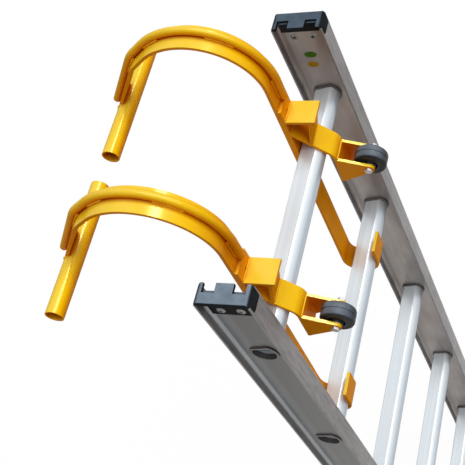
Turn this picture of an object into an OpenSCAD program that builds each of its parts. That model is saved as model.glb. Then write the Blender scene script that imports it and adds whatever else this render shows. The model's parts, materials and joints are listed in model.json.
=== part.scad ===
// Roof ladder: aluminium ladder section with two bolt-on ridge hooks, transport wheels and swivel feet.
// Frame: X runs along the rungs, +Y is the roof side of the hooks, Z runs up the rails. Millimetres.

/* [Ladder] */
// Spacing of the rungs
rung_pitch = 304.8; // [290:0.1:310]
// Clear width between the two rail webs
inside_w = 425; // [415:1:470]
// Length of rail past the first and the last rung
rail_over = 152.4; // [145:0.1:170]

/* [Rail] */
// Depth of the rail across its flanges
rail_depth = 74; // [72:1:84]
// Width of each rail flange
flange_w = 30; // [28:1:34]
// Thickness of each rail flange
flange_t = 3; // [2.5:0.1:4]
// Thickness of the rail web
web_t = 2.6; // [2:0.1:3.5]
// Fillet radius between web and flange
rail_fillet = 6; // [1:0.5:7]

/* [Rung] */
// Diameter of the round part of the rung
rung_d = 38; // [35:0.5:39]
// Wall of the rung tube
rung_wall = 2; // [1.5:0.1:3]
// Distance of the flat tread from the rung axis
rung_flat = 14; // [13:0.5:15]
// Lean of the flat tread toward the roof side, degrees
rung_lean = 15; // [5:1:20]
// Height of the swaged collar around the rung
collar_h = 2.5; // [2:0.5:6]
// Thickness of the swaged collar along the rung
collar_t = 3; // [2.5:0.1:4]

/* [End cap] */
// Thickness of the cap's top
cap_t = 5; // [4:0.5:7]
// Depth of the cap's skirt
cap_skirt = 14; // [10:1:18]
// Half width of the cap's middle tab
cap_tab = 12; // [10:0.5:14]

/* [Hook] */
// Distance of the left hook's middle from the left rail's web
hook_left_in = 75; // [70:0.5:84]
// Distance of the right hook's middle from the right rail's web
hook_right_in = 97; // [74:0.5:100]
// Width of the hook strap
strap_w = 38; // [36:1:40]
// Thickness of the hook strap
strap_t = 4.8; // [4:0.1:6]
// Lean of the strap against the rails, degrees
hook_lean = 1.9; // [1.6:0.1:2.2]
// Height above the top rung at which the hook starts to bend
hook_rise = 143; // [138:1:160]
// Radius of the main bend
hook_r = 96; // [85:1:110]
// Turn of the main bend, degrees
hook_turn = 129; // [122:1:132]
// Straight run after the main bend
hook_run = 25; // [15:1:40]
// Radius of the second bend
hook_r2 = 66; // [50:1:80]
// Turn of the second bend, degrees
hook_turn2 = 17.5; // [10:0.5:22]
// Straight end that carries the cross tube
hook_end = 102; // [80:1:120]
// Height of the hook's upturned lower tip
tip_h = 36; // [28:1:44]
// Diameter of the round stiffening rod
rod_d = 12; // [10:0.5:16]
// Offset of the rod from the middle of the strap
rod_side = 4.5; // [0:0.5:7]

/* [Cross tube] */
// Diameter of the cross tube
tube_d = 26.4; // [24:0.2:30]
// Wall of the cross tube
tube_wall = 2.2; // [1.8:0.1:3]
// Gap between the facing ends of the two cross tubes
tube_apart = 49; // [40:1:80]

/* [Clamp bracket] */
// Thickness of the bracket plate
plate_t = 4.5; // [4:0.1:5]
// Height of the bracket's top face above the clamp bolt
shelf_up = 13; // [13:0.5:17]
// Reach of the bracket's top face out from the strap
shelf_l = 43; // [40:1:48]
// Height of the back plate above the bracket's top face
back_up = 22; // [10:0.5:26]
// Depth of the bracket's front wall below the rung axis
front_z = 64; // [58:1:70]
// Diameter of the clamp bolt
clamp_d = 8; // [7:0.5:8]

/* [Wheel] */
// Diameter of the wheel
wheel_d = 48; // [46:1:54]
// Width of the tyre
tyre_w = 22; // [18:1:24]
// Diameter of the axle bolt
axle_d = 6; // [5:0.5:8]
// Distance of the axle in front of the rung axis
axle_y = 76; // [74:1:82]
// Distance of the axle below the rung axis
axle_z = 33; // [30:1:36]

/* [Foot] */
// Height of the foot pivot above the rail's lower end
pivot_up = 26; // [22:1:28]
// Thickness of the rubber foot pad
pad_t = 12; // [8:1:18]
// Half length of the foot plate
foot_half = 48; // [44:1:56]
// Diameter of the foot pivot bolt
pivot_d = 10; // [8:0.5:11]

/* [Hidden] */
$fn = 64;
rung_count = 8;
run_gap = 0.08;
slide_gap = 0.1;
touch_gap = 0.3;
seat_gap = 0.05;
over = 1;
far_out = 1000;
hex_n = 6;
hex_round = 1.1547;

rung_r = rung_d / 2;
rail_x = inside_w / 2 + web_t / 2;
foot_plate_t = 4;
ear_gap = 0.6;
ear_t = 4;
foot_swing_gap = 2.3;
pivot_drop = sqrt(pow(rail_depth / 2, 2) + pow(pivot_up, 2)) + foot_swing_gap;
pivot_z = pad_t + foot_plate_t + pivot_drop;
rail_z0 = pivot_z - pivot_up;
rung_z0 = rail_z0 + rail_over;
top_rung_z = rung_z0 + rung_pitch * (rung_count - 1);
rail_z1 = top_rung_z + rail_over;
rail_l = rail_z1 - rail_z0;
hook_left_x = hook_left_in - inside_w / 2;
hook_right_x = inside_w / 2 - hook_right_in;

lip_t = 2.2;
lip_h = 1.5;
tube_end = inside_w / 2 + web_t + lip_t;

rivet_r = 2.4;
rivet_head_r = 6;
rivet_head_t = 2;
rivet_y = 13.5;
rivet_down = 28;
cap_wrap = 1.4;
cap_tab_t = 4;
cap_foot = 38;
cap_plug = 14;
cap_rim = 5;
cap_notch_out = rail_depth / 2 - flange_t - cap_rim;
cap_corner = 6;
cap_round = 9;
cap_edge = 4;

back_y = rung_r + touch_gap;
back_low = 14;
slope = 45;
slope_in = back_y / cos(slope);
slope_out = (back_y + plate_t) / cos(slope);

clamp_r = clamp_d / 2;
clamp_travel = 5;
washer_r = 8;
washer_t = 1.6;
clamp_z = back_y + slope_out + clamp_travel + washer_r + touch_gap;
shelf_z = clamp_z + shelf_up;
back_z = shelf_z + back_up;
slot_play = 0.8;
slot_w = clamp_d + slot_play;
slot_low = clamp_z - clamp_travel - touch_gap;
slot_high = shelf_z;
nut_t = 6.5;
nut_flats = 13;
nut_r = nut_flats / 2 * hex_round;
nut_turn = 30;
clamp_end = 4;
clamp_head_r = 9.5;
clamp_head_t = 4.4;

strap_y = back_y + plate_t + slide_gap;
strap_mid = strap_y + strap_t / 2;
low_y = -rung_pitch * sin(hook_lean);
low_z = -rung_pitch * cos(hook_lean);
tip_y = low_y - rung_r - touch_gap;
hook_in_r = (strap_y - tip_y) / 2;
hook_mid_y = (strap_y + tip_y) / 2;
rod_r = rod_d / 2;
rod_off = strap_t / 2 + rod_r;
rod_clear = 7;
rod_z0 = back_z + rod_clear;
rod_short = 1;
weld_l = 2;
weld_h = 0.1;
weld_gap = 0.3;
low_steps = 40;
bend_steps = 64;
bend2_steps = 12;
tube_r = tube_d / 2;
tube_l = hook_right_x - hook_left_x - tube_apart;
tube_back = 17;
tube_in = tube_r - strap_t / 2;

bend_r = 20;
wall_in = 29.5;
bend_y = bend_r - wall_in;
bend_z = bend_y + (back_y - bend_r) / cos(slope);
shelf_y = back_y - shelf_l;
brace_in = 4;
brace_y = -7;
brace_z = brace_y + slope_out;

axle_r = axle_d / 2;
ear_plate_t = plate_t;
ear_in = strap_w / 2 - ear_plate_t;
ear_round = 8;
hub_r = 14;
hub_proud = 1.5;
hub_w = tyre_w + 2 * hub_proud;
hub_rim_t = 2;
hub_web_t = 10;
hub_lip_r = 9;
wheel_r = wheel_d / 2;
tyre_round = 4;
groove_r = 0.8;
axle_flats = 10;
axle_head_t = 4;
axle_head_r = axle_flats / 2 * hex_round;
axle_nut_t = 5;
axle_tail = 2;
axle_washer_r = 6;

pivot_r = pivot_d / 2;
foot_ear_in = flange_w / 2 + ear_gap;
foot_ear_r = 14;
foot_ear_base = 34;
pad_side = 1.5;
pad_groove_w = 4;
pad_groove_d = 3;
pad_groove_n = 4;
spacer_r = 9;
pivot_head_t = 6.4;
pivot_flats = 17;
pivot_head_r = pivot_flats / 2 * hex_round;
pivot_nut_t = 8;
pivot_tail = 3;

alu = [0.72, 0.73, 0.75];
alu_pale = [0.82, 0.85, 0.88];
plastic = [0.2, 0.23, 0.27];
paint = [0.98, 0.72, 0.06];
steel = [0.78, 0.78, 0.8];
rubber = [0.12, 0.13, 0.14];
hub_grey = [0.3, 0.31, 0.33];

// Height of a rung's axis; rung 1 is the top rung.
function rung_z(n) = top_rung_z - (n - 1) * rung_pitch;

// Turns a profile drawn in Y (first) and Z (second) so that it is extruded along X.
module along_x(length) {
    rotate([90, 0, 90])
        linear_extrude(height = length, center = true)
            children();
}

// Turns a profile drawn in X (first) and Z (second) so that it is extruded along Y.
module along_y(length) {
    rotate([90, 0, 0])
        linear_extrude(height = length, center = true)
            children();
}

// Round bar along X, centred on its own middle.
module bar_x(radius, length) {
    rotate([0, 90, 0])
        cylinder(r = radius, h = length, center = true);
}

// Hexagon prism along X that starts at x = 0.
module hex_x(radius, length) {
    rotate([0, 90, 0])
        cylinder(r = radius, h = length, $fn = hex_n);
}

// Outline of the rung, grown by a margin.
module rung_outline(margin) {
    intersection() {
        circle(r = rung_r + margin);
        rotate(-rung_lean)
            translate([-rung_d, -2 * rung_d])
                square([2 * rung_d, 2 * rung_d + rung_flat + margin]);
    }
}

// I-shaped rail section, centred on its web.
module rail_outline() {
    pocket_h = rail_depth - 2 * flange_t;
    difference() {
        square([flange_w, rail_depth], center = true);
        for (side = [0, 1]) {
            mirror([side, 0]) {
                translate([web_t / 2 + rail_fillet, -pocket_h / 2])
                    square([flange_w, pocket_h]);
                translate([web_t / 2, -pocket_h / 2 + rail_fillet])
                    square([flange_w, pocket_h - 2 * rail_fillet]);
                for (end = [-1, 1]) {
                    translate([web_t / 2 + rail_fillet, end * (pocket_h / 2 - rail_fillet)])
                        circle(r = rail_fillet);
                }
            }
        }
    }
}

// One rail, drawn for the right side.
module rail() {
    color(alu)
        difference() {
            translate([rail_x, 0, rail_z0])
                linear_extrude(height = rail_l)
                    rail_outline();
            for (n = [1 : rung_count]) {
                translate([rail_x, 0, rung_z(n)])
                    along_x(web_t + over)
                        rung_outline(seat_gap);
            }
            for (side = [-1, 1]) {
                translate([rail_x, side * rivet_y, rail_z1 - rivet_down])
                    bar_x(rivet_r + seat_gap, web_t + over);
            }
            translate([rail_x, 0, pivot_z])
                bar_x(pivot_r + seat_gap, web_t + over);
        }
}

module rail_right() {
    rail();
}

module rail_left() {
    mirror([1, 0, 0])
        rail();
}

// Bevelled disc around the rung axis, from x = 0 outward, with the flat of the tread.
module swage(radius, thick) {
    bevel = thick / 3;
    difference() {
        rotate([0, 90, 0])
            rotate_extrude()
                polygon([
                    [0, 0],
                    [radius - bevel, 0],
                    [radius, bevel],
                    [radius, thick - bevel],
                    [radius - bevel, thick],
                    [0, thick]
                ]);
        rotate([-rung_lean, 0, 0])
            translate([-rung_d, -2 * rung_d, rung_flat + radius - rung_r])
                cube([2 * rung_d, 4 * rung_d, rung_d]);
    }
}

// Rung tube with a swaged collar inside and a rolled lip outside each rail.
module rung(n) {
    color(alu_pale)
        translate([0, 0, rung_z(n)])
            difference() {
                union() {
                    along_x(2 * tube_end)
                        rung_outline(0);
                    for (side = [0, 1]) {
                        mirror([side, 0, 0]) {
                            translate([inside_w / 2 - collar_t, 0, 0])
                                swage(rung_r + collar_h, collar_t);
                            translate([inside_w / 2 + web_t, 0, 0])
                                swage(rung_r + lip_h, lip_t);
                        }
                    }
                }
                along_x(2 * tube_end + over)
                    rung_outline(-rung_wall);
            }
}

// Top of the end cap: rail outline with rounded corners and two notches on the inner side.
module cap_top_outline() {
    half_y = rail_depth / 2 + cap_wrap;
    notch_w = cap_notch_out - cap_tab;
    difference() {
        union() {
            translate([-flange_w / 2, -half_y + cap_corner])
                square([flange_w, 2 * (half_y - cap_corner)]);
            translate([-flange_w / 2 + cap_corner, -half_y])
                square([flange_w - 2 * cap_corner, 2 * half_y]);
            for (a = [-1, 1], b = [-1, 1]) {
                translate([a * (flange_w / 2 - cap_corner), b * (half_y - cap_corner)])
                    circle(r = cap_corner);
            }
        }
        for (side = [0, 1]) {
            mirror([0, side]) {
                translate([-flange_w / 2 - over, cap_tab])
                    square([flange_w / 2 - web_t / 2 + over, notch_w]);
            }
        }
    }
}

// End cap seen along the rungs: rounded over at both ends, in Y and Z about the rail's top.
module cap_side_outline() {
    half_y = rail_depth / 2 + cap_wrap;
    translate([-half_y + cap_round, -cap_skirt])
        square([2 * (half_y - cap_round), cap_skirt + cap_t]);
    translate([-half_y, -cap_skirt])
        square([2 * half_y, cap_skirt + cap_t - cap_round]);
    for (side = [-1, 1]) {
        translate([side * (half_y - cap_round), cap_t - cap_round])
            circle(r = cap_round);
    }
}

// End cap seen along the flanges' faces: rounded over at its outer edge, in X and Z about the rail's top.
module cap_end_outline() {
    half_x = flange_w / 2;
    translate([-half_x, -cap_skirt])
        square([2 * half_x - cap_edge, cap_skirt + cap_t]);
    translate([-half_x, -cap_skirt])
        square([2 * half_x, cap_skirt + cap_t - cap_edge]);
    translate([half_x - cap_edge, cap_t - cap_edge])
        circle(r = cap_edge);
}

// End cap, drawn for the right rail.
module cap() {
    channel_h = rail_depth - 2 * flange_t - 2 * rail_fillet;
    color(plastic)
        translate([rail_x, 0, rail_z1])
            difference() {
                union() {
                    difference() {
                        intersection() {
                            translate([0, 0, -cap_skirt])
                                linear_extrude(height = cap_skirt + cap_t)
                                    cap_top_outline();
                            along_x(flange_w + over)
                                cap_side_outline();
                            along_y(2 * rail_depth)
                                cap_end_outline();
                        }
                        translate([-flange_w, -rail_depth / 2, -cap_skirt - over])
                            cube([2 * flange_w, rail_depth, cap_skirt + over]);
                    }
                    translate([web_t / 2, -channel_h / 2, -cap_foot])
                        cube([cap_tab_t, channel_h, cap_foot + cap_t / 2]);
                    translate([-web_t / 2 - cap_tab_t, -channel_h / 2, -cap_plug])
                        cube([cap_tab_t, channel_h, cap_plug + cap_t / 2]);
                }
                for (side = [-1, 1]) {
                    translate([0, side * rivet_y, -rivet_down])
                        bar_x(rivet_r + seat_gap, flange_w);
                }
            }
}

module cap_right() {
    cap();
}

module cap_left() {
    mirror([1, 0, 0])
        cap();
}

// Domed rivet head that sits on x = 0 and rises along +X.
module rivet_head() {
    dome_r = (pow(rivet_head_r, 2) + pow(rivet_head_t, 2)) / (2 * rivet_head_t);
    rotate([0, 90, 0])
        rotate_extrude()
            intersection() {
                translate([0, rivet_head_t - dome_r])
                    circle(r = dome_r);
                square([dome_r, rivet_head_t]);
            }
}

// The two rivets of one cap, drawn for the right rail.
module cap_rivets() {
    grip = web_t + cap_tab_t;
    color(steel)
        for (side = [-1, 1]) {
            translate([inside_w / 2, side * rivet_y, rail_z1 - rivet_down]) {
                translate([grip / 2, 0, 0])
                    bar_x(rivet_r, grip);
                translate([grip, 0, 0])
                    rivet_head();
                mirror([1, 0, 0])
                    rivet_head();
            }
        }
}

module cap_rivets_right() {
    cap_rivets();
}

module cap_rivets_left() {
    mirror([1, 0, 0])
        cap_rivets();
}

// Side ear of the foot shoe, in Y and Z about the pivot.
module foot_ear_outline() {
    circle(r = foot_ear_r);
    polygon([
        [-foot_ear_base, -pivot_drop - foot_plate_t],
        [foot_ear_base, -pivot_drop - foot_plate_t],
        [foot_ear_base, -pivot_drop + foot_plate_t],
        [foot_ear_r, 0],
        [-foot_ear_r, 0],
        [-foot_ear_base, -pivot_drop + foot_plate_t]
    ]);
}

// Swivel shoe under one rail, drawn for the right side.
module foot_shoe() {
    color(alu)
        translate([rail_x, 0, pivot_z])
            difference() {
                union() {
                    for (side = [-1, 1]) {
                        translate([side * (foot_ear_in + ear_t / 2), 0, 0])
                            along_x(ear_t)
                                foot_ear_outline();
                    }
                    translate([-foot_ear_in - ear_t, -foot_half, -pivot_drop - foot_plate_t])
                        cube([2 * (foot_ear_in + ear_t), 2 * foot_half, foot_plate_t]);
                }
                bar_x(pivot_r + run_gap, far_out);
            }
}

module foot_shoe_right() {
    foot_shoe();
}

module foot_shoe_left() {
    mirror([1, 0, 0])
        foot_shoe();
}

// Grooved rubber pad bonded under the shoe, drawn for the right side.
module foot_pad() {
    half_x = foot_ear_in + ear_t + pad_side;
    half_y = foot_half + pad_side;
    step = 2 * half_y / (pad_groove_n + 1);
    color(rubber)
        translate([rail_x, 0, 0])
            difference() {
                translate([-half_x, -half_y, 0])
                    cube([2 * half_x, 2 * half_y, pad_t]);
                for (i = [1 : pad_groove_n]) {
                    translate([-half_x - over, -half_y + i * step - pad_groove_w / 2, -over])
                        cube([2 * (half_x + over), pad_groove_w, pad_groove_d + over]);
                }
            }
}

module foot_pad_right() {
    foot_pad();
}

module foot_pad_left() {
    mirror([1, 0, 0])
        foot_pad();
}

// Pivot bolt of one foot, head outside, drawn for the right side.
module foot_bolt() {
    reach = foot_ear_in + ear_t + touch_gap;
    tail = pivot_nut_t + pivot_tail;
    color(steel)
        translate([rail_x, 0, pivot_z]) {
            translate([-tail / 2, 0, 0])
                bar_x(pivot_r, 2 * reach + tail);
            translate([reach, 0, 0])
                hex_x(pivot_head_r, pivot_head_t);
        }
}

module foot_bolt_right() {
    foot_bolt();
}

module foot_bolt_left() {
    mirror([1, 0, 0])
        foot_bolt();
}

// Nut of the foot pivot bolt, on the inner side, drawn for the right side.
module foot_nut() {
    reach = foot_ear_in + ear_t + touch_gap;
    color(steel)
        translate([rail_x - reach - pivot_nut_t, 0, pivot_z])
            difference() {
                hex_x(pivot_head_r, pivot_nut_t);
                bar_x(pivot_r, far_out);
            }
}

module foot_nut_right() {
    foot_nut();
}

module foot_nut_left() {
    mirror([1, 0, 0])
        foot_nut();
}

// Spacer tubes on the pivot bolt, one on each side of the web, drawn for the right side.
module foot_spacers() {
    length = foot_ear_in - web_t / 2 - touch_gap;
    color(steel)
        translate([rail_x, 0, pivot_z])
            difference() {
                for (side = [-1, 1]) {
                    translate([side * (web_t / 2 + length / 2), 0, 0])
                        bar_x(spacer_r, length);
                }
                bar_x(pivot_r, far_out);
            }
}

module foot_spacers_right() {
    foot_spacers();
}

module foot_spacers_left() {
    mirror([1, 0, 0])
        foot_spacers();
}

// Places a hook part on the top rung: its own Y and Z start at the rung axis and lean with the strap.
module on_hook(x) {
    translate([x, 0, top_rung_z])
        rotate([hook_lean, 0, 0])
            children();
}

// Moves the children past a bend.
module past_bend(radius, angle) {
    translate([radius, 0, 0])
        rotate([0, 0, -angle])
            translate([-radius, 0, 0])
                children();
}

// Moves the children to the start of the hook's straight end.
module at_hook_end() {
    translate([strap_mid, hook_rise, 0])
        past_bend(hook_r, hook_turn)
            translate([0, hook_run, 0])
                past_bend(hook_r2, hook_turn2)
                    children();
}

// Unit vector along the strap after a turn, and the one that points out of the bend.
function along(turn) = [sin(turn), cos(turn)];
function outward(turn) = [-cos(turn), sin(turn)];

// Points of an arc about a centre, for turns from one angle to another.
function arc_points(centre, radius, from, to, steps) =
    [for (i = [0 : steps]) centre + radius * outward(from + (to - from) * i / steps)];

// Side profile of the whole strap, from the lower tip to the free end.
module strap_outline() {
    half = strap_t / 2;
    low_mid = [hook_mid_y, low_z];
    mid_1 = [strap_mid + hook_r, hook_rise];
    run_1 = mid_1 + hook_r * outward(hook_turn) + hook_run * along(hook_turn);
    mid_2 = run_1 - hook_r2 * outward(hook_turn);
    all_turn = hook_turn + hook_turn2;
    free_end = mid_2 + hook_r2 * outward(all_turn) + hook_end * along(all_turn);
    polygon(concat(
        [[tip_y - strap_t, low_z + tip_h], [tip_y, low_z + tip_h]],
        arc_points(low_mid, hook_in_r, 0, -180, low_steps),
        arc_points(mid_1, hook_r + half, 0, hook_turn, bend_steps),
        arc_points(mid_2, hook_r2 + half, hook_turn, all_turn, bend2_steps),
        [free_end + half * outward(all_turn), free_end - half * outward(all_turn)],
        arc_points(mid_2, hook_r2 - half, all_turn, hook_turn, bend2_steps),
        arc_points(mid_1, hook_r - half, hook_turn, 0, bend_steps),
        arc_points(low_mid, hook_in_r + strap_t, -180, 0, low_steps)
    ));
}

// Flat bar that forms the hook.
module hook_strap(x) {
    color(paint)
        on_hook(x)
            difference() {
                along_x(strap_w)
                    strap_outline();
                translate([0, strap_mid, clamp_z])
                    rotate([90, 0, 0])
                        cylinder(r = clamp_r + seat_gap, h = 2 * strap_t, center = true);
            }
}

// Turns a solid drawn in the strap's profile plane upright.
module profile_solid() {
    rotate([90, 0, 90])
        children();
}

// Round bar along +y in the profile plane.
module rod_run(length) {
    rotate([-90, 0, 0])
        rotate([0, 0, 180])
            cylinder(r = rod_r, h = length);
}

// Butt weld around the rod where two of its pieces meet.
module rod_weld() {
    translate([-rod_off, -weld_l / 2, 0])
        rotate([-90, 0, 0])
            cylinder(r = rod_r + weld_h, h = weld_l);
}

// Curved piece of the stiffening rod outside a bend.
module rod_bend(radius, angle) {
    translate([radius, 0, 0])
        rotate([0, 0, 180 - angle])
            rotate_extrude(angle = angle)
                translate([radius + rod_off, 0])
                    circle(r = rod_r);
}

// Round rod welded along the outer face of the strap, off its middle.
module hook_rod(x) {
    color(paint)
        on_hook(x + rod_side)
            profile_solid() {
                translate([strap_mid - rod_off, rod_z0, 0])
                    rod_run(hook_rise - rod_z0 - weld_gap);
                translate([strap_mid, hook_rise, 0]) {
                    rod_weld();
                    rod_bend(hook_r, hook_turn);
                    past_bend(hook_r, hook_turn) {
                        rod_weld();
                        translate([-rod_off, weld_gap, 0])
                            rod_run(hook_run - 2 * weld_gap);
                        translate([0, hook_run, 0]) {
                            rod_weld();
                            rod_bend(hook_r2, hook_turn2);
                        }
                    }
                }
                at_hook_end() {
                    rod_weld();
                    translate([-rod_off, weld_gap, 0])
                        rod_run(hook_end - rod_short - weld_gap);
                }
            }
}

// Open cross tube let into the end of the strap.
module cross_tube(x) {
    color(paint)
        on_hook(x)
            profile_solid()
                at_hook_end()
                    difference() {
                        translate([tube_in, hook_end - tube_back, 0])
                            cylinder(r = tube_r, h = tube_l, center = true);
                        translate([tube_in, hook_end - tube_back, 0])
                            cylinder(r = tube_r - tube_wall, h = tube_l + over, center = true);
                        translate([-strap_t - over, 0, -strap_w / 2])
                            cube([3 * strap_t / 2 + over, hook_end, strap_w]);
                    }
}

// Side profile of the folded bracket without its ears.
module bracket_outline() {
    translate([back_y, -back_low])
        square([plate_t, back_z + back_low]);
    translate([shelf_y, shelf_z - plate_t])
        square([shelf_l, plate_t]);
    polygon([
        [shelf_y + brace_in, shelf_z],
        [shelf_y + brace_in + plate_t, shelf_z],
        [brace_y + plate_t, brace_z],
        [brace_y, brace_z]
    ]);
    polygon([
        [back_y, back_y + slope_in],
        [back_y, back_y + slope_out],
        [bend_y - (bend_r + plate_t) * cos(slope), bend_z + (bend_r + plate_t) * sin(slope)],
        [bend_y - bend_r * cos(slope), bend_z + bend_r * sin(slope)]
    ]);
    translate([bend_y, bend_z])
        intersection() {
            difference() {
                circle(r = bend_r + plate_t);
                circle(r = bend_r);
            }
            polygon([[0, 0], [-far_out, far_out], [-far_out, 0]]);
        }
    translate([-wall_in - plate_t, -front_z])
        square([plate_t, front_z + bend_z]);
}

// Ear of the bracket that carries the axle.
module ear_outline() {
    root = -wall_in - plate_t / 2;
    translate([-axle_y, -axle_z])
        circle(r = ear_round);
    polygon([
        [root, bend_z],
        [-axle_y, ear_round - axle_z],
        [-axle_y - ear_round, -axle_z],
        [-axle_y, -axle_z - ear_round],
        [root, -front_z]
    ]);
}

// Slot of the bracket's back plate, cut along Y.
module clamp_slot() {
    translate([0, back_y + plate_t / 2, 0])
        rotate([90, 0, 0]) {
            translate([-slot_w / 2, slot_low, -plate_t])
                cube([slot_w, slot_high - slot_low, 2 * plate_t]);
            for (z = [slot_low, slot_high]) {
                translate([0, z, 0])
                    cylinder(r = slot_w / 2, h = 2 * plate_t, center = true);
            }
        }
}

// Folded bracket that seats over the top rung and carries the wheel.
module bracket(x) {
    color(paint)
        on_hook(x)
            difference() {
                union() {
                    difference() {
                        along_x(strap_w)
                            bracket_outline();
                        intersection() {
                            clamp_slot();
                            translate([-slot_w, back_y - over / 2, -far_out])
                                cube([2 * slot_w, plate_t + over, 2 * far_out]);
                        }
                    }
                    for (side = [-1, 1]) {
                        translate([side * (ear_in + ear_plate_t / 2), 0, 0])
                            along_x(ear_plate_t)
                                ear_outline();
                    }
                }
                translate([0, -axle_y, -axle_z])
                    bar_x(axle_r + seat_gap, far_out);
            }
}

// Round bar along -Y that starts at y = 0.
module pin_y(radius, length) {
    rotate([90, 0, 0])
        cylinder(r = radius, h = length);
}

// Clamp bolt through strap and back plate, round head on the roof side.
module clamp_bolt(x) {
    grip = strap_t + plate_t + 2 * slide_gap + washer_t + nut_t + clamp_end;
    dome_r = (pow(clamp_head_r, 2) + pow(clamp_head_t, 2)) / (2 * clamp_head_t);
    color(steel)
        on_hook(x)
            translate([0, strap_y + strap_t, clamp_z]) {
                pin_y(clamp_r, grip);
                rotate([-90, 0, 0])
                    rotate_extrude()
                        intersection() {
                            translate([0, clamp_head_t - dome_r])
                                circle(r = dome_r);
                            square([dome_r, clamp_head_t]);
                        }
            }
}

// Washer between the bracket's back plate and the clamp nut.
module clamp_washer(x) {
    color(steel)
        on_hook(x)
            translate([0, back_y - slide_gap, clamp_z])
                difference() {
                    pin_y(washer_r, washer_t);
                    translate([0, over, 0])
                        pin_y(clamp_r + seat_gap, washer_t + 2 * over);
                }
}

// Hexagon nut of the clamp bolt.
module clamp_nut(x) {
    color(steel)
        on_hook(x)
            translate([0, back_y - slide_gap - washer_t, clamp_z])
                difference() {
                    rotate([90, nut_turn, 0])
                        cylinder(r = nut_r, h = nut_t, $fn = hex_n);
                    translate([0, over, 0])
                        pin_y(clamp_r, nut_t + 2 * over);
                }
}

// Places wheel parts on the axle.
module on_axle(x) {
    on_hook(x)
        translate([0, -axle_y, -axle_z])
            children();
}

// Rubber tyre with rounded shoulders and a parting groove.
module tyre(x) {
    color(rubber)
        on_axle(x)
            rotate([0, 90, 0])
                rotate_extrude()
                    difference() {
                        union() {
                            translate([hub_r, -tyre_w / 2])
                                square([wheel_r - hub_r - tyre_round, tyre_w]);
                            translate([hub_r, -tyre_w / 2 + tyre_round])
                                square([wheel_r - hub_r, tyre_w - 2 * tyre_round]);
                            for (side = [-1, 1]) {
                                translate([wheel_r - tyre_round, side * (tyre_w / 2 - tyre_round)])
                                    circle(r = tyre_round);
                            }
                        }
                        translate([wheel_r, 0])
                            circle(r = groove_r);
                    }
}

// Hub inside the tyre, recessed between rim and bearing boss.
module hub(x) {
    rim_in = hub_r - hub_rim_t;
    color(hub_grey)
        on_axle(x)
            rotate([0, 90, 0])
                rotate_extrude()
                    difference() {
                        union() {
                            translate([rim_in, -tyre_w / 2])
                                square([hub_r - rim_in, tyre_w]);
                            translate([0, -hub_web_t / 2])
                                square([rim_in + over, hub_web_t]);
                            translate([0, -hub_w / 2])
                                square([hub_lip_r, hub_w]);
                        }
                        translate([0, -hub_w])
                            square([axle_r + run_gap, 2 * hub_w]);
                    }
}

// Axle bolt with its hexagon head outside the left ear.
module axle_bolt(x) {
    reach = strap_w / 2;
    tail = axle_nut_t + axle_tail;
    color(steel)
        on_axle(x) {
            translate([tail / 2, 0, 0])
                bar_x(axle_r, 2 * reach + tail);
            mirror([1, 0, 0])
                translate([reach, 0, 0])
                    hex_x(axle_head_r, axle_head_t);
        }
}

// Axle nut outside the right ear.
module axle_nut(x) {
    color(steel)
        on_axle(x)
            translate([strap_w / 2, 0, 0])
                difference() {
                    hex_x(axle_head_r, axle_nut_t);
                    bar_x(axle_r, far_out);
                }
}

// Thrust washers between the hub and the two ears.
module axle_washers(x) {
    thick = ear_in - hub_w / 2 - touch_gap;
    color(steel)
        on_axle(x)
            difference() {
                for (side = [-1, 1]) {
                    translate([side * (ear_in - thick / 2), 0, 0])
                        bar_x(axle_washer_r, thick);
                }
                bar_x(axle_r, far_out);
            }
}

rail_left();
rail_right();
rung(1);  // rung_1
rung(2);  // rung_2
rung(3);  // rung_3
rung(4);  // rung_4
rung(5);  // rung_5
rung(6);  // rung_6
rung(7);  // rung_7
rung(8);  // rung_8
cap_left();
cap_right();
cap_rivets_left();
cap_rivets_right();
foot_shoe_left();
foot_shoe_right();
foot_pad_left();
foot_pad_right();
foot_bolt_left();
foot_bolt_right();
foot_nut_left();
foot_nut_right();
foot_spacers_left();
foot_spacers_right();
hook_strap(hook_left_x);  // hook_strap_left
hook_strap(hook_right_x);  // hook_strap_right
hook_rod(hook_left_x);  // hook_rod_left
hook_rod(hook_right_x);  // hook_rod_right
cross_tube(hook_left_x);  // cross_tube_left
cross_tube(hook_right_x);  // cross_tube_right
bracket(hook_left_x);  // bracket_left
bracket(hook_right_x);  // bracket_right
clamp_bolt(hook_left_x);  // clamp_bolt_left
clamp_bolt(hook_right_x);  // clamp_bolt_right
clamp_washer(hook_left_x);  // clamp_washer_left
clamp_washer(hook_right_x);  // clamp_washer_right
clamp_nut(hook_left_x);  // clamp_nut_left
clamp_nut(hook_right_x);  // clamp_nut_right
tyre(hook_left_x);  // tyre_left
tyre(hook_right_x);  // tyre_right
hub(hook_left_x);  // hub_left
hub(hook_right_x);  // hub_right
axle_bolt(hook_left_x);  // axle_bolt_left
axle_bolt(hook_right_x);  // axle_bolt_right
axle_nut(hook_left_x);  // axle_nut_left
axle_nut(hook_right_x);  // axle_nut_right
axle_washers(hook_left_x);  // axle_washers_left
axle_washers(hook_right_x);  // axle_washers_right
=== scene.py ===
"""Looks of a roof ladder with two painted ridge hooks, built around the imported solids. Metres."""
import json
import math

import bmesh
import bpy
from mathutils import Matrix, Vector


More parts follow.
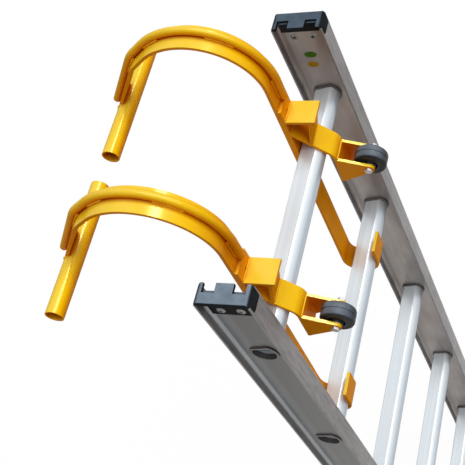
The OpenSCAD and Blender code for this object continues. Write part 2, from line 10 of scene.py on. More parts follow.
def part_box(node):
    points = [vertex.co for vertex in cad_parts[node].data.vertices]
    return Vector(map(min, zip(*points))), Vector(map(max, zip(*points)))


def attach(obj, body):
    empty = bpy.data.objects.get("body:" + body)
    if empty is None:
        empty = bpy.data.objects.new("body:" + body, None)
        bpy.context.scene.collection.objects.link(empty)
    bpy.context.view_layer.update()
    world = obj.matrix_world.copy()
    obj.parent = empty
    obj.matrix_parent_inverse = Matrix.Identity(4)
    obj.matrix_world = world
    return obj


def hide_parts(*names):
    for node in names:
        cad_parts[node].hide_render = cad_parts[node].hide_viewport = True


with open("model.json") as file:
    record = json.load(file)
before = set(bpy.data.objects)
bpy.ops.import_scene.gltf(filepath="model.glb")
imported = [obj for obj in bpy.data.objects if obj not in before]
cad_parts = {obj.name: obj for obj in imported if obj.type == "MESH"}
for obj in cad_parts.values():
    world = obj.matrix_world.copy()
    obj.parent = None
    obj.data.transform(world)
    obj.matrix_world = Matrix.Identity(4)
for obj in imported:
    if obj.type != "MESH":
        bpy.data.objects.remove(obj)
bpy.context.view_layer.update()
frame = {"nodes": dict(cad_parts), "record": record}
NODES = frame["nodes"]
BODIES = frame["record"]["behaviour"]["bodies"]
BODY_OF = {node: body for body, nodes in BODIES.items() for node in nodes}
SLOT_OF = {part["node"]: part["material_slot"] for part in frame["record"]["subparts"]}
RUNGS = sorted(node for node in NODES if node.startswith("rung_"))
SIDES = ("left", "right")
MM = 0.001
WHITE = (1.0, 1.0, 1.0, 1.0)

# Hook strap, rod and cross tube, in the hook's own Y and Z from the top rung
STRAP_HALF_W = 19 * MM
STRAP_T = 4.8 * MM
STRAP_MID = 26.3 * MM
HOOK_LEAN = math.radians(1.9)
HOOK_RISE = 143 * MM
HOOK_R = 96 * MM
HOOK_TURN = math.radians(129.0)
HOOK_RUN = 25 * MM
HOOK_R2 = 66 * MM
HOOK_TURN2 = math.radians(17.5)
HOOK_END = 102 * MM
ROD_R = 6 * MM
ROD_START = 108.3 * MM
ROD_SIDE = 4.5 * MM
TUBE_R = 13.2 * MM
TUBE_BACK = 17 * MM

# Bracket, in the same Y and Z
BACK_Y = 19.3 * MM
SHELF_Z = 79.3 * MM
BRACE_FOOT = Vector((-7.3, 26.8)) * MM
EAR_IN = 14.5 * MM
WALL_FRONT = -34 * MM
WALL_LOW = -60 * MM
WALL_HIGH = -12 * MM
WALL_TOP = Vector((WALL_FRONT, -10.5 * MM))

# Rails and rungs, from the middle planes of the ladder
WEB_FACE = 212.5 * MM
WEB_MIDDLE = 213.8 * MM
WEB_BLUR = 1 * MM
COLLAR_START = 208.6 * MM
FLANGE_START = 33.6 * MM
EDGE_BLUR = 0.5 * MM
# Y range of the band of painted reflected light on the outer webs
REFLECTION_BAND_START = 8 * MM
REFLECTION_BAND_END = 30 * MM
RAIL_OVER = 152.4 * MM


def middle(node):
    """Middle of a node's box."""
    low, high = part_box(node)
    return (low + high) / 2


TOP_RUNG_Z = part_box("rail_left")[1].z - RAIL_OVER
HOOK_X = {side: middle(f"hook_strap_{side}").x for side in SIDES}


# Camera, with its eye and aim measured from the top rung and its lens and sensor in mm

EYE = Vector((-0.71567, -0.51799, 1.14372))
AIM = Vector((-0.04485, 0.08411, 0.01644))
ROLL = math.radians(-33.602)
LENS = 80.029
SENSOR_W = 36.0
CLIP_END = 60.0


def add_camera():
    """Camera at the photograph's viewing angle."""
    data = bpy.data.cameras.new("camera")
    data.lens = LENS
    data.sensor_width = SENSOR_W
    data.clip_end = CLIP_END
    camera = bpy.data.objects.new("camera", data)
    bpy.context.scene.collection.objects.link(camera)
    turn = (AIM - EYE).to_track_quat("-Z", "Y").to_matrix().to_4x4()
    place = Matrix.Translation(EYE + Vector((0, 0, TOP_RUNG_Z)))
    camera.matrix_world = place @ turn @ Matrix.Rotation(ROLL, 4, "Z")
    bpy.context.scene.camera = camera


# Material helpers

NOISE_ROUGHNESS = 0.55
HOLLOW_SAMPLES = 12
COAT_IOR = 2.0
# Socket numbers of a Mix node that mixes colours
MIX_AMOUNT = 0
MIX_FIRST = 6
MIX_SECOND = 7
MIX_RESULT = 2


class Shader:
    """A material with a Principled shader and short ways to add texture nodes to it."""

    def __init__(self, name, metallic=0.0, specular=0.5):
        self.material = bpy.data.materials.new(name)
        self.material.use_nodes = True
        self.tree = self.material.node_tree
        self.main = self.tree.nodes["Principled BSDF"]
        self.set("Metallic", metallic)
        self.set("Specular IOR Level", specular)

    def set(self, socket, value):
        """Gives a socket of the shader a value that is the same all over."""
        self.main.inputs[socket].default_value = value

    def add(self, kind, **values):
        """New node with some of its sockets set."""
        node = self.tree.nodes.new(kind)
        for name, value in values.items():
            node.inputs[name].default_value = value
        return node

    def link(self, out, into):
        """Joins an output to an input."""
        self.tree.links.new(out, into)

    def noise(self, scale, detail, stretch=(1, 1, 1)):
        """Noise in the part's frame, drawn out along an axis where its stretch is small."""
        coords = self.add("ShaderNodeTexCoord")
        mapping = self.add("ShaderNodeMapping", Scale=stretch)
        noise = self.add("ShaderNodeTexNoise", Scale=scale, Detail=detail, Roughness=NOISE_ROUGHNESS)
        self.link(coords.outputs["Object"], mapping.inputs["Vector"])
        self.link(mapping.outputs["Vector"], noise.inputs["Vector"])
        return noise.outputs["Fac"]

    def along_axis(self, vector, axis):
        """One part of a vector."""
        split = self.add("ShaderNodeSeparateXYZ")
        self.link(vector, split.inputs[0])
        return split.outputs[axis]

    def position(self, axis):
        """Position along one axis of the part's frame."""
        return self.along_axis(self.add("ShaderNodeTexCoord").outputs["Object"], axis)

    def facing(self, axis):
        """How far the surface faces along one axis; along Z that is up."""
        return self.along_axis(self.add("ShaderNodeNewGeometry").outputs["Normal"], axis)

    def operate(self, operation, *values):
        """Result of a Math node."""
        node = self.add("ShaderNodeMath")
        node.operation = operation
        for value, socket in zip(values, node.inputs):
            self.link(value, socket)
        return node.outputs[0]

    def size(self, value):
        """A value without its sign."""
        return self.operate("ABSOLUTE", value)

    def times(self, first, second):
        """Product of two values."""
        return self.operate("MULTIPLY", first, second)

    def span(self, value, low, high, start=0.3, end=0.7):
        """Maps a value from one range to another and holds it there."""
        node = self.add("ShaderNodeMapRange")
        node.inputs["From Min"].default_value = start
        node.inputs["From Max"].default_value = end
        node.inputs["To Min"].default_value = low
        node.inputs["To Max"].default_value = high
        self.link(value, node.inputs["Value"])
        return node.outputs["Result"]

    def rise(self, value, start, end):
        """Goes from 0 to 1 while a value goes from start to end."""
        return self.span(value, 0.0, 1.0, start, end)

    def ramp(self, value, *colours, stops=(0.3, 0.7)):
        """Goes through colours while a value goes through their stops."""
        node = self.add("ShaderNodeValToRGB")
        line = node.color_ramp
        for stop in stops[2:]:
            line.elements.new(stop)
        elements = sorted(line.elements, key=lambda element: element.position)
        for element, stop, colour in zip(elements, stops, colours):
            element.position = stop
            element.color = (*colour, 1.0)
        self.link(value, node.inputs["Fac"])
        return node.outputs["Color"]

    def mix(self, amount, first, second, mode="MIX"):
        """Mixes two colours by a value or a fixed amount."""
        node = self.add("ShaderNodeMix")
        node.data_type = "RGBA"
        node.blend_type = mode
        if isinstance(amount, float):
            node.inputs[MIX_AMOUNT].default_value = amount
        else:
            self.link(amount, node.inputs[MIX_AMOUNT])
        self.link(first, node.inputs[MIX_FIRST])
        self.link(second, node.inputs[MIX_SECOND])
        return node.outputs[MIX_RESULT]

    def hollow(self, reach):
        """Openness of the surface: 1 in the open, 0 deep in a corner."""
        node = self.add("ShaderNodeAmbientOcclusion", Distance=reach)
        node.samples = HOLLOW_SAMPLES
        return node.outputs["AO"]

    def bump(self, height, strength, distance):
        """Fine relief from a height that goes from 0 to 1."""
        node = self.add("ShaderNodeBump", Strength=strength, Distance=distance)
        self.link(height, node.inputs["Height"])
        self.link(node.outputs["Normal"], self.main.inputs["Normal"])

    def coat(self, roughness):
        """Roughness and index of a thin clear coat, which gives the highlights."""
        self.set("Coat Roughness", roughness)
        self.set("Coat IOR", COAT_IOR)

    def finish(self, colour, roughness):
        """Links the colour and the roughness and gives the material."""
        self.link(colour, self.main.inputs["Base Color"])
        self.link(roughness, self.main.inputs["Roughness"])
        return self.material


# Materials

def rail_metal():
    """Mill-finish rail: painted warm reflection on the inner web, painted shade and a band of painted
    reflected light on the outer web, streaked flanges.
    """
    shader = Shader("rail_aluminium", metallic=0.5)
    lines = shader.noise(1.0, 3.0, (90.0, 90.0, 1.6))
    cloud = shader.noise(1.0, 3.0, (14.0, 14.0, 6.0))
    grain = shader.noise(1.0, 4.0, (260.0, 260.0, 34.0))
    # Inner web: aluminium with a painted warm reflection of the hooks and surroundings
    inner = shader.ramp(cloud, (0.22, 0.187, 0.167), (0.35, 0.31, 0.287), (0.49, 0.46, 0.443),
                        stops=(0.3, 0.5, 0.72))
    # Outer web darkened by painted shade
    painted_shade_outer = shader.ramp(cloud, (0.095, 0.093, 0.088), (0.16, 0.158, 0.151))
    # Band of painted reflected light on the outer web
    bright = shader.ramp(cloud, (0.31, 0.33, 0.345), (0.44, 0.46, 0.475))
    flange = shader.ramp(grain, (0.165, 0.152, 0.152), (0.30, 0.278, 0.278))
    streaks = shader.ramp(lines, (0.88, 0.88, 0.88), (1.0, 1.0, 1.0))
    in_reflection_band = shader.rise(shader.position("Y"), REFLECTION_BAND_START, REFLECTION_BAND_END)
    outside = shader.rise(shader.size(shader.position("X")), WEB_MIDDLE - WEB_BLUR, WEB_MIDDLE + WEB_BLUR)
    on_flange = shader.rise(shader.size(shader.position("Y")), FLANGE_START, FLANGE_START + EDGE_BLUR)
    web = shader.mix(outside, inner, shader.mix(in_reflection_band, painted_shade_outer, bright))
    whole = shader.mix(on_flange, web, flange)
    shader.bump(lines, 0.1, 0.4 * MM)
    return shader.finish(shader.mix(1.0, whole, streaks, "MULTIPLY"), shader.span(cloud, 0.30, 0.44))


def rung_metal():
    """Pale drawn rung tube with faint draw lines, sides darkened by painted shade and much darker swaged
    ends.
    """
    shader = Shader("rung_aluminium", metallic=0.38)
    lines = shader.noise(1.0, 3.0, (1.3, 150.0, 150.0))
    cloud = shader.noise(9.0, 3.0)
    tread = shader.ramp(lines, (0.77, 0.835, 0.89), (0.86, 0.93, 0.97))
    # Side colour darker than the top: painted shade
    side = shader.ramp(lines, (0.50, 0.575, 0.645), (0.60, 0.68, 0.75))
    # Much darker colour at the swaged ends
    dark_end = shader.ramp(cloud, (0.085, 0.078, 0.075), (0.19, 0.175, 0.17), stops=(0.35, 0.7))
    # Painted shade on faces that turn away from up
    rung_with_painted_shade = shader.mix(shader.rise(shader.facing("Z"), 0.25, 0.85), side, tread)
    at_end = shader.rise(shader.size(shader.position("X")), COLLAR_START, COLLAR_START + EDGE_BLUR)
    shader.bump(lines, 0.08, 0.4 * MM)
    return shader.finish(shader.mix(at_end, rung_with_painted_shade, dark_end), shader.span(cloud, 0.30, 0.42))


def powder_coat():
    """Glossy yellow powder coat with painted light: a pale painted highlight on top, orange painted shade
    underneath and red-brown painted shade in the corners.
    """
    shader = Shader("hook_paint", metallic=0.06, specular=0.0)
    mottle = shader.noise(28.0, 4.0)
    upper = shader.ramp(mottle, (0.98, 0.55, 0.001), (0.99, 0.60, 0.002))
    # Orange painted shade for faces that turn away from up
    under = shader.ramp(mottle, (0.90, 0.31, 0.001), (0.95, 0.36, 0.001))
    # Red-brown painted shade for corners and hollows
    corner = shader.ramp(mottle, (0.66, 0.17, 0.001), (0.76, 0.21, 0.002))
    # Pale painted highlight for faces that face up
    painted_highlight_top = shader.ramp(mottle, (0.94, 0.62, 0.03), (0.96, 0.67, 0.06))
    lift = shader.facing("Z")
    colour = shader.mix(shader.rise(lift, 0.0, 0.65), under, upper)
    colour = shader.mix(shader.rise(lift, 0.72, 0.97), colour, painted_highlight_top)
    # Painted shade in corners, led by ambient occlusion
    openness_for_painted_shade = shader.times(shader.rise(shader.hollow(7 * MM), 0.25, 0.75),
                            shader.rise(shader.hollow(40 * MM), 0.25, 0.65))
    colour = shader.mix(openness_for_painted_shade, corner, colour)
    shader.link(shader.span(lift, 0.05, 0.2, 0.45, 0.85), shader.main.inputs["Coat Weight"])
    shader.coat(0.16)
    shader.bump(shader.noise(620.0, 2.0), 0.06, 0.3 * MM)
    return shader.finish(colour, shader.span(mottle, 0.2, 0.28))


def cap_moulding():
    """Dark blue-grey cap with a fine grain, a top paler than its sides by painted light with painted
    shade in its hollows, paler on the left cap.
    """
    shader = Shader("cap_plastic", specular=0.0)
    patch = shader.noise(60.0, 5.0)
    side = shader.ramp(patch, (0.006, 0.007, 0.009), (0.014, 0.017, 0.021), stops=(0.35, 0.7))
    # Top colours, paler than the sides by painted light; the left cap's top is paler than the right's
    darker_painted_light_top = shader.ramp(patch, (0.055, 0.078, 0.11), (0.095, 0.13, 0.17))
    painted_light_top = shader.ramp(patch, (0.15, 0.195, 0.245), (0.235, 0.30, 0.365))
    to_right = shader.rise(shader.position("X"), -WEB_FACE / 2, WEB_FACE / 2)
    top = shader.mix(to_right, painted_light_top, darker_painted_light_top)
    # Painted light on faces that face up, held off hollows as painted shade
    painted_light_mask = shader.times(shader.rise(shader.facing("Z"), 0.82, 0.97),
                        shader.rise(shader.hollow(20 * MM), 0.6, 0.95))
    shader.set("Coat Weight", 0.06)
    shader.coat(0.25)
    shader.bump(shader.noise(1500.0, 2.0), 0.1, 0.3 * MM)
    return shader.finish(shader.mix(painted_light_mask, side, top), shader.span(patch, 0.26, 0.42))


def tyre_rubber():
    """Black tyre with a painted sheen on the upper tread and dark side walls."""
    shader = Shader("tyre_rubber", specular=0.2)
    patch = shader.noise(70.0, 5.0)
    wall = shader.ramp(patch, (0.010, 0.011, 0.012), (0.022, 0.024, 0.026), stops=(0.35, 0.7))
    black = shader.ramp(patch, (0.014, 0.016, 0.019), (0.026, 0.029, 0.034))
    # Painted sheen on the upper tread, by how far it faces up
    painted_light_top = shader.ramp(patch, (0.095, 0.115, 0.142), (0.152, 0.182, 0.22))
    tread = shader.mix(shader.rise(shader.facing("Z"), 0.2, 0.85), black, painted_light_top)
    on_wall = shader.rise(shader.size(shader.facing("X")), 0.3, 0.9)
    shader.bump(shader.noise(900.0, 2.0), 0.08, 0.3 * MM)
    return shader.finish(shader.mix(on_wall, tread, wall), shader.span(patch, 0.36, 0.5))


def moulded(name, dark, light, rough, grain, depth, specular=0.5):
    """Moulded plastic or rubber with a fine grain and patches between two roughnesses."""
    shader = Shader(name, specular=specular)
    patch = shader.noise(35.0, 5.0)
    shader.bump(shader.noise(grain, 2.0), depth, 0.3 * MM)
    return shader.finish(shader.ramp(patch, dark, light, stops=(0.35, 0.7)), shader.span(patch, *rough))


def plated(name, dark, light):
    """Plated steel with faint crystal blotches."""
    shader = Shader(name, metallic=0.8)
    patch = shader.noise(210.0, 3.0)
    shader.bump(patch, 0.05, 0.2 * MM)
    return shader.finish(shader.ramp(patch, dark, light), shader.span(patch, 0.28, 0.46))


def marker(name, dark, light):
    """Matt print of one colour."""
    return moulded(name, dark, light, (0.47, 0.65), 900.0, 0.05, specular=0.1)


MATERIALS = {
    "rail_aluminium": rail_metal(),
    "rung_aluminium": rung_metal(),
    "hook_paint": powder_coat(),
    "cap_plastic": cap_moulding(),
    "zinc_steel": plated("zinc_steel", (0.40, 0.40, 0.41), (0.60, 0.59, 0.58)),
    "tyre_rubber": tyre_rubber(),
    "hub_plastic": moulded("hub_plastic", (0.010, 0.011, 0.012), (0.022, 0.023, 0.025),
                           (0.37, 0.55), 1200.0, 0.1),
    "pad_rubber": moulded("pad_rubber", (0.012, 0.012, 0.012), (0.03, 0.03, 0.03),
                          (0.62, 0.8), 700.0, 0.3),
}
# Near-black mandrel ends: painted shade of the rivet holes
STUB_PAINTED_SHADE = plated("stub_painted_shade", (0.02, 0.018, 0.016), (0.05, 0.045, 0.04))
RIVET_STEEL = plated("rivet_steel", (0.16, 0.155, 0.15), (0.28, 0.275, 0.27))
GREEN_DOT = marker("green_dot", (0.05, 0.16, 0.001), (0.08, 0.23, 0.002))
AMBER_DOT = marker("amber_dot", (0.42, 0.25, 0.002), (0.52, 0.33, 0.004))


# Objects

SMOOTH_ANGLE = math.radians(35.0)


def set_material(obj, material):
    """Gives an object one material."""
    obj.data.materials.clear()
    obj.data.materials.append(material)


def add_object(name, form):
    """Object in the scene from a bmesh."""
    mesh = bpy.data.meshes.new(name)
    form.to_mesh(mesh)
    form.free()
    obj = bpy.data.objects.new(name, mesh)
    bpy.context.scene.collection.objects.link(obj)
    return obj


def smooth(piece):
    """Smooth shading with sharp edges kept."""
    for polygon in piece.data.polygons:
        polygon.use_smooth = True
    piece.data.set_sharp_from_angle(angle=SMOOTH_ANGLE)


def add_piece(name, form, body, slot, material=None):
    """Object from a bmesh that rides on a body and takes the finish of a slot."""
    piece = add_object(name, form)
    smooth(piece)
    set_material(piece, material or MATERIALS[slot])
    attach(piece, body)
    return piece


# Rounded copies of the solids

SAME_POINT = 0.001 * MM
FLAT_ANGLE = math.radians(0.5)
FLAT_WEIGHT = 90
ROUND_PROFILE = 0.5
EDGE_ANGLE = math.radians(32.0)
BOLT_ANGLE = math.radians(45.0)
TUBE_ANGLE = math.radians(60.0)
ANY_LENGTH = 0.0
LONG_EDGE = 300 * MM
RUNG_ROUNDING = 1.0 * MM
RUNG_SEGMENTS = 3
# Nodes of each side, with the width of the rounding and the least angle and length of a rounded edge
ROUNDED = (
    ("rail", 0.7 * MM, EDGE_ANGLE, LONG_EDGE),
    ("hook_strap", 0.8 * MM, EDGE_ANGLE, ANY_LENGTH),
    ("bracket", 0.9 * MM, EDGE_ANGLE, ANY_LENGTH),
    ("cap", 0.8 * MM, EDGE_ANGLE, ANY_LENGTH),
    ("cross_tube", 0.4 * MM, TUBE_ANGLE, ANY_LENGTH),
    ("foot_shoe", 0.8 * MM, EDGE_ANGLE, ANY_LENGTH),
    ("foot_pad", 0.8 * MM, EDGE_ANGLE, ANY_LENGTH),
    ("foot_bolt", 0.4 * MM, BOLT_ANGLE, ANY_LENGTH),
    ("foot_nut", 0.4 * MM, BOLT_ANGLE, ANY_LENGTH),
    ("axle_bolt", 0.4 * MM, BOLT_ANGLE, ANY_LENGTH),
    ("axle_nut", 0.4 * MM, BOLT_ANGLE, ANY_LENGTH),
    ("clamp_nut", 0.4 * MM, BOLT_ANGLE, ANY_LENGTH),
)


def keep_flats(piece):
    """Normals led by the largest faces, so that flat faces stay flat beside rounded edges."""
    weigh = piece.modifiers.new("weighted", "WEIGHTED_NORMAL")
    weigh.keep_sharp = True
    weigh.weight = FLAT_WEIGHT
    bpy.context.view_layer.update()
    done = bpy.data.meshes.new_from_object(piece.evaluated_get(bpy.context.evaluated_depsgraph_get()))
    piece.modifiers.clear()
    piece.data = done


def is_sharp(edge, angle, length):
    """Whether an edge is over an angle and a length."""
    return edge.is_manifold and edge.calc_face_angle() > angle and edge.calc_length() > length


def dress(node, width, angle, length, segments=2):
    """Replaces a solid by a copy whose edges over an angle and a length are rounded."""
    form = bmesh.new()
    form.from_mesh(NODES[node].data)
    bmesh.ops.remove_doubles(form, verts=form.verts, dist=SAME_POINT)
    bmesh.ops.dissolve_limit(form, angle_limit=FLAT_ANGLE, verts=form.verts, edges=form.edges)
    edges = [edge for edge in form.edges if is_sharp(edge, angle, length)]
    bmesh.ops.bevel(form, geom=edges, offset=width, offset_type="OFFSET", segments=segments,
                    profile=ROUND_PROFILE, affect="EDGES", clamp_overlap=True, miter_outer="ARC")
    piece = add_piece(f"{node}_dressed", form, BODY_OF[node], SLOT_OF[node])
    keep_flats(piece)
    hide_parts(node)


# Weld beads

BEAD_STEP = 0.5 * MM
BEAD_ROUND = 10
BEAD_TIP = 0.02
BEAD_ACROSS = Vector((0.31, 0.87, 0.38))
RIPPLE = 0.11
RIPPLE_PITCH = 2.6 * MM
# Labels of the two welds of a pair and the way that each lies along X
PAIR = (("a", -1), ("b", 1))


def along(turn):
    """Direction along the strap, in Y and Z, after a turn."""
    return Vector((math.sin(turn), math.cos(turn)))


def outward(turn):
    """Direction out of the bend, in Y and Z, after a turn."""
    return Vector((-math.cos(turn), math.sin(turn)))


def strap_at(run):
    """Point of the strap's middle line and its turn, at a run past the start of the main bend."""
    centre = Vector((STRAP_MID + HOOK_R, HOOK_RISE))
    bend = HOOK_R * HOOK_TURN
    if run < 0:
        return Vector((STRAP_MID, HOOK_RISE + run)), 0.0
    if run < bend:
        return centre + HOOK_R * outward(run / HOOK_R), run / HOOK_R
    start = centre + HOOK_R * outward(HOOK_TURN)
    if run < bend + HOOK_RUN:
        return start + (run - bend) * along(HOOK_TURN), HOOK_TURN
    corner = start + HOOK_RUN * along(HOOK_TURN)
    centre = corner - HOOK_R2 * outward(HOOK_TURN)
    past = run - bend - HOOK_RUN
    turn = HOOK_TURN + min(past / HOOK_R2, HOOK_TURN2)
    point = centre + HOOK_R2 * outward(turn)
    return point + max(0.0, past - HOOK_R2 * HOOK_TURN2) * along(turn), turn


def on_hook(side, across, point):
    """Point of the part's frame from a distance across the strap and the hook's own Y and Z."""
    y, z = point
    lean_y = y * math.cos(HOOK_LEAN) - z * math.sin(HOOK_LEAN)
    lean_z = y * math.sin(HOOK_LEAN) + z * math.cos(HOOK_LEAN)
    return Vector((HOOK_X[side] + across, lean_y, TOP_RUNG_Z + lean_z))


def spaced(start, end):
    """Values from start to end, about one bead step apart."""
    count = max(2, round(abs(end - start) / BEAD_STEP))
    return [start + (end - start) * i / count for i in range(count + 1)]


def bead_ring(form, point, heading, size):
    """Ring of corners around a bead's line; no bead runs along BEAD_ACROSS."""
    side = heading.cross(BEAD_ACROSS).normalized()
    up = heading.cross(side).normalized()
    angles = [2 * math.pi * k / BEAD_ROUND for k in range(BEAD_ROUND)]
    return [form.verts.new(point + size * (math.cos(a) * side + math.sin(a) * up)) for a in angles]


def bead(name, body, points, radius):
    """Rippled weld bead with rounded ends along a line of points one bead step apart."""
    form = bmesh.new()
    rings = []
    last = len(points) - 1
    for i, point in enumerate(points):
        run = BEAD_STEP * i
        short = 1 - min(1.0, min(run, BEAD_STEP * last - run) / radius)
        size = radius * math.sqrt(max(BEAD_TIP, 1 - short ** 2))
        size *= 1 + RIPPLE * math.cos(2 * math.pi * run / RIPPLE_PITCH)
        heading = points[min(i + 1, last)] - points[max(i - 1, 0)]
        rings.append(bead_ring(form, point, heading, size))
    for low, high in zip(rings, rings[1:]):
        for k in range(BEAD_ROUND):
            after = (k + 1) % BEAD_ROUND
            form.faces.new((low[k], low[after], high[after], high[k]))
    form.faces.new(rings[0][::-1])
    form.faces.new(rings[-1])
    bmesh.ops.recalc_face_normals(form, faces=form.faces)
    add_piece(name, form, body, "hook_paint")


ROD_BEAD_R = 2 * MM
ROD_BEAD_SINK = 0.4
# Start and end of each stitch, as runs past the start of the main bend
ROD_STITCHES = (
    (ROD_START - HOOK_RISE + 1 * MM, 4 * MM),
    (78 * MM, 118 * MM),
    (186 * MM, 216 * MM),
    (246 * MM, 282 * MM),
)


def add_rod_welds(side):
    """Stitch welds on both sides of the rod along the strap."""
    height = STRAP_T / 2 + ROD_BEAD_SINK * ROD_BEAD_R
    from_rod = ROD_R + ROD_BEAD_SINK * ROD_BEAD_R
    below_rod = ROD_R - ROD_BEAD_SINK * ROD_BEAD_R
    across = math.sqrt(from_rod ** 2 - below_rod ** 2)
    for number, (start, end) in enumerate(ROD_STITCHES):
        for label, sign in PAIR:
            line = []
            for run in spaced(start, end):
                point, turn = strap_at(run)
                line.append(on_hook(side, ROD_SIDE + sign * across, point + height * outward(turn)))
            bead(f"rod_weld_{side}_{number}{label}", f"hook_{side}", line, ROD_BEAD_R)


TUBE_BEAD_R = 1.3 * MM
TUBE_BEAD_HALF = math.radians(50.0)


def add_tube_welds(side):
    """Beads around the cross tube at both edges of the strap."""
    whole = HOOK_R * HOOK_TURN + HOOK_RUN + HOOK_R2 * HOOK_TURN2 + HOOK_END - TUBE_BACK
    point, turn = strap_at(whole)
    axis = point - (TUBE_R - STRAP_T / 2) * outward(turn)
    sweep = TUBE_R * TUBE_BEAD_HALF
    for label, sign in PAIR:
        line = []
        for run in spaced(-sweep, sweep):
            angle = run / TUBE_R
            spoke = math.cos(angle) * outward(turn) + math.sin(angle) * along(turn)
            line.append(on_hook(side, sign * STRAP_HALF_W, axis + TUBE_R * spoke))
        bead(f"tube_weld_{side}_{label}", f"hook_{side}", line, TUBE_BEAD_R)


PLATE_BEAD_R = 1.3 * MM
PLATE_BEAD_IN = 2 * MM


def add_bracket_welds(side):
    """Beads along the shelf, the brace and the front wall and at the roots of the ears."""
    body = f"bracket_body_{side}"
    half = STRAP_HALF_W - PLATE_BEAD_IN
    for label, point in (("shelf", Vector((BACK_Y, SHELF_Z))), ("brace", BRACE_FOOT), ("wall", WALL_TOP)):
        line = [on_hook(side, across, point) for across in spaced(-half, half)]
        bead(f"{label}_weld_{side}", body, line, PLATE_BEAD_R)
    roots = [Vector((WALL_FRONT, z)) for z in spaced(WALL_LOW, WALL_HIGH)]
    for label, sign in PAIR:
        line = [on_hook(side, sign * EAR_IN, root) for root in roots]
        bead(f"ear_weld_{side}_{label}", body, line, PLATE_BEAD_R)


# Small added pieces on the rails

DISC_SEGMENTS = 40


def add_disc(name, centre, half_y, half_z, thick, slot, material):
    """Thin oval disc that faces along X, raised by its thickness toward the sign of thick."""
    form = bmesh.new()
    bmesh.ops.create_circle(form, cap_ends=True, segments=DISC_SEGMENTS, radius=1.0)
    top = bmesh.ops.extrude_face_region(form, geom=list(form.faces))
    moved = [part for part in top["geom"] if isinstance(part, bmesh.types.BMVert)]
    bmesh.ops.translate(form, verts=moved, vec=(0, 0, 1))
    shape = Matrix(((0, 0, thick, centre.x),
                    (half_y, 0, 0, centre.y),
                    (0, half_z, 0, centre.z),
                    (0, 0, 0, 1)))
    bmesh.ops.transform(form, matrix=shape, verts=form.verts)
    bmesh.ops.recalc_face_normals(form, faces=form.faces)
    add_piece(name, form, "ladder", slot, material)


# Name, Y and Z from the top rung, half sizes along Y and Z, all in mm, and material
DOTS = (
    ("green_dot", 1.8, 85.7, 9.5, 6.2, GREEN_DOT),
    ("amber_dot", 4.0, 64.3, 9.0, 5.8, AMBER_DOT),
)
DOT_T = 0.15 * MM


def add_dots():
    """Two plain oval markers on the inner web of the right rail."""
    for name, y, z, half_y, half_z, material in DOTS:
        centre = Vector((WEB_FACE, y * MM, TOP_RUNG_Z + z * MM))
        add_disc(name, centre, half_y * MM, half_z * MM, -DOT_T, "cap_plastic", material)


STUB_R = 2.4 * MM
STUB_T = 0.12 * MM
STUB_SINK = 0.3 * MM


def add_rivet_stubs(side):
    """Mandrel ends in the middle of the rivet heads, near-black as painted shade of their holes."""
    low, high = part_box(f"cap_rivets_{side}")
    z = (low.z + high.z) / 2
    head_r = (high.z - low.z) / 2
    for label, y in (("front", low.y + head_r), ("rear", high.y - head_r)):
        for face, x, out in (("out", high.x, 1), ("in", low.x, -1)):
            centre = Vector((x - out * STUB_SINK, y, z))
            thick = out * (STUB_SINK + STUB_T)
            add_disc(f"rivet_stub_{side}_{label}_{face}", centre, STUB_R, STUB_R, thick,
                     "zinc_steel", STUB_PAINTED_SHADE)


# Light, floor and backdrop

FLOOR_HALF = 9.0
FLOOR_CELLS = 8
FLOOR_TONE = (0.34, 0.285, 0.24, 1.0)
FLOOR_SHADOW = 0.25
AMBIENT = 0.2
# Name, strength, width in degrees and the direction that it comes from
LAMPS = (
    ("soft_light", 2.0, 60.0, Vector((0.0, -0.34, 0.94))),
    ("top_light", 0.75, 14.0, Vector((0.46, -0.29, 0.84))),
)


def white_to_camera(tree, ground, bright):
    """Mix of a lit ground and a white that only camera, glossy and transmission rays see."""
    path = tree.nodes.new("ShaderNodeLightPath")
    total = path.outputs["Is Camera Ray"]
    for name in ("Is Glossy Ray", "Is Transmission Ray"):
        plus = tree.nodes.new("ShaderNodeMath")
        plus.operation = "MAXIMUM"
        tree.links.new(total, plus.inputs[0])
        tree.links.new(path.outputs[name], plus.inputs[1])
        total = plus.outputs[0]
    mix = tree.nodes.new("ShaderNodeMixShader")
    tree.links.new(total, mix.inputs[0])
    tree.links.new(ground, mix.inputs[1])
    tree.links.new(bright, mix.inputs[2])
    return mix.outputs[0]


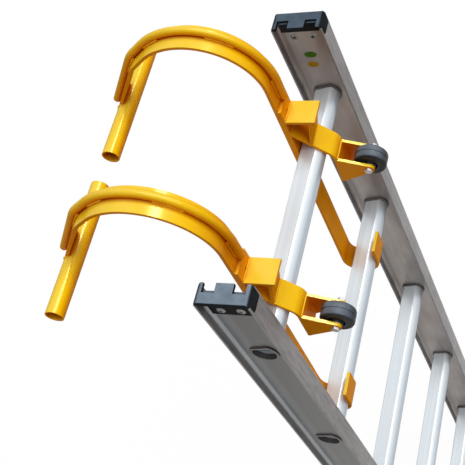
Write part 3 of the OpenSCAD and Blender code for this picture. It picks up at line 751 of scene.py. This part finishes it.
def floor_material():
    """Warm ground for the light that it throws back, seen as white with a faint shadow."""
    material = bpy.data.materials.new("floor")
    material.use_nodes = True
    tree = material.node_tree
    tree.nodes.clear()
    ground = tree.nodes.new("ShaderNodeBsdfDiffuse")
    ground.inputs["Color"].default_value = FLOOR_TONE
    seen = tree.nodes.new("ShaderNodeBsdfDiffuse")
    seen.inputs["Color"].default_value = WHITE
    white = tree.nodes.new("ShaderNodeEmission")
    both = tree.nodes.new("ShaderNodeMixShader")
    both.inputs[0].default_value = FLOOR_SHADOW
    tree.links.new(white.outputs[0], both.inputs[1])
    tree.links.new(seen.outputs[0], both.inputs[2])
    out = tree.nodes.new("ShaderNodeOutputMaterial")
    tree.links.new(white_to_camera(tree, ground.outputs[0], both.outputs[0]), out.inputs["Surface"])
    return material


def add_floor():
    """Pale floor under the feet."""
    form = bmesh.new()
    bmesh.ops.create_grid(form, x_segments=FLOOR_CELLS, y_segments=FLOOR_CELLS, size=FLOOR_HALF)
    floor = add_object("floor", form)
    set_material(floor, floor_material())


def add_world():
    """Soft even surround that shows white."""
    world = bpy.data.worlds.new("surround")
    bpy.context.scene.world = world
    world.use_nodes = True
    tree = world.node_tree
    tree.nodes.clear()
    dim = tree.nodes.new("ShaderNodeBackground")
    dim.inputs["Strength"].default_value = AMBIENT
    white = tree.nodes.new("ShaderNodeBackground")
    for node in (dim, white):
        node.inputs["Color"].default_value = WHITE
    out = tree.nodes.new("ShaderNodeOutputWorld")
    tree.links.new(white_to_camera(tree, dim.outputs[0], white.outputs[0]), out.inputs["Surface"])


def add_lamps():
    """A broad soft light from above and a smaller one beside it for the highlights."""
    for name, strength, width, source in LAMPS:
        data = bpy.data.lights.new(name, "SUN")
        data.energy = strength
        data.angle = math.radians(width)
        lamp = bpy.data.objects.new(name, data)
        bpy.context.scene.collection.objects.link(lamp)
        lamp.matrix_world = source.to_track_quat("Z", "Y").to_matrix().to_4x4()


# Build

add_camera()
for node, obj in NODES.items():
    set_material(obj, RIVET_STEEL if node.startswith("cap_rivets") else MATERIALS[SLOT_OF[node]])
for rung in RUNGS:
    dress(rung, RUNG_ROUNDING, EDGE_ANGLE, LONG_EDGE, RUNG_SEGMENTS)
for side in SIDES:
    for name, width, angle, length in ROUNDED:
        dress(f"{name}_{side}", width, angle, length)
    add_rod_welds(side)
    add_tube_welds(side)
    add_bracket_welds(side)
add_dots()
for side in SIDES:
    add_rivet_stubs(side)
add_floor()
add_world()
add_lamps()
bpy.context.scene.view_settings.view_transform = "Standard"
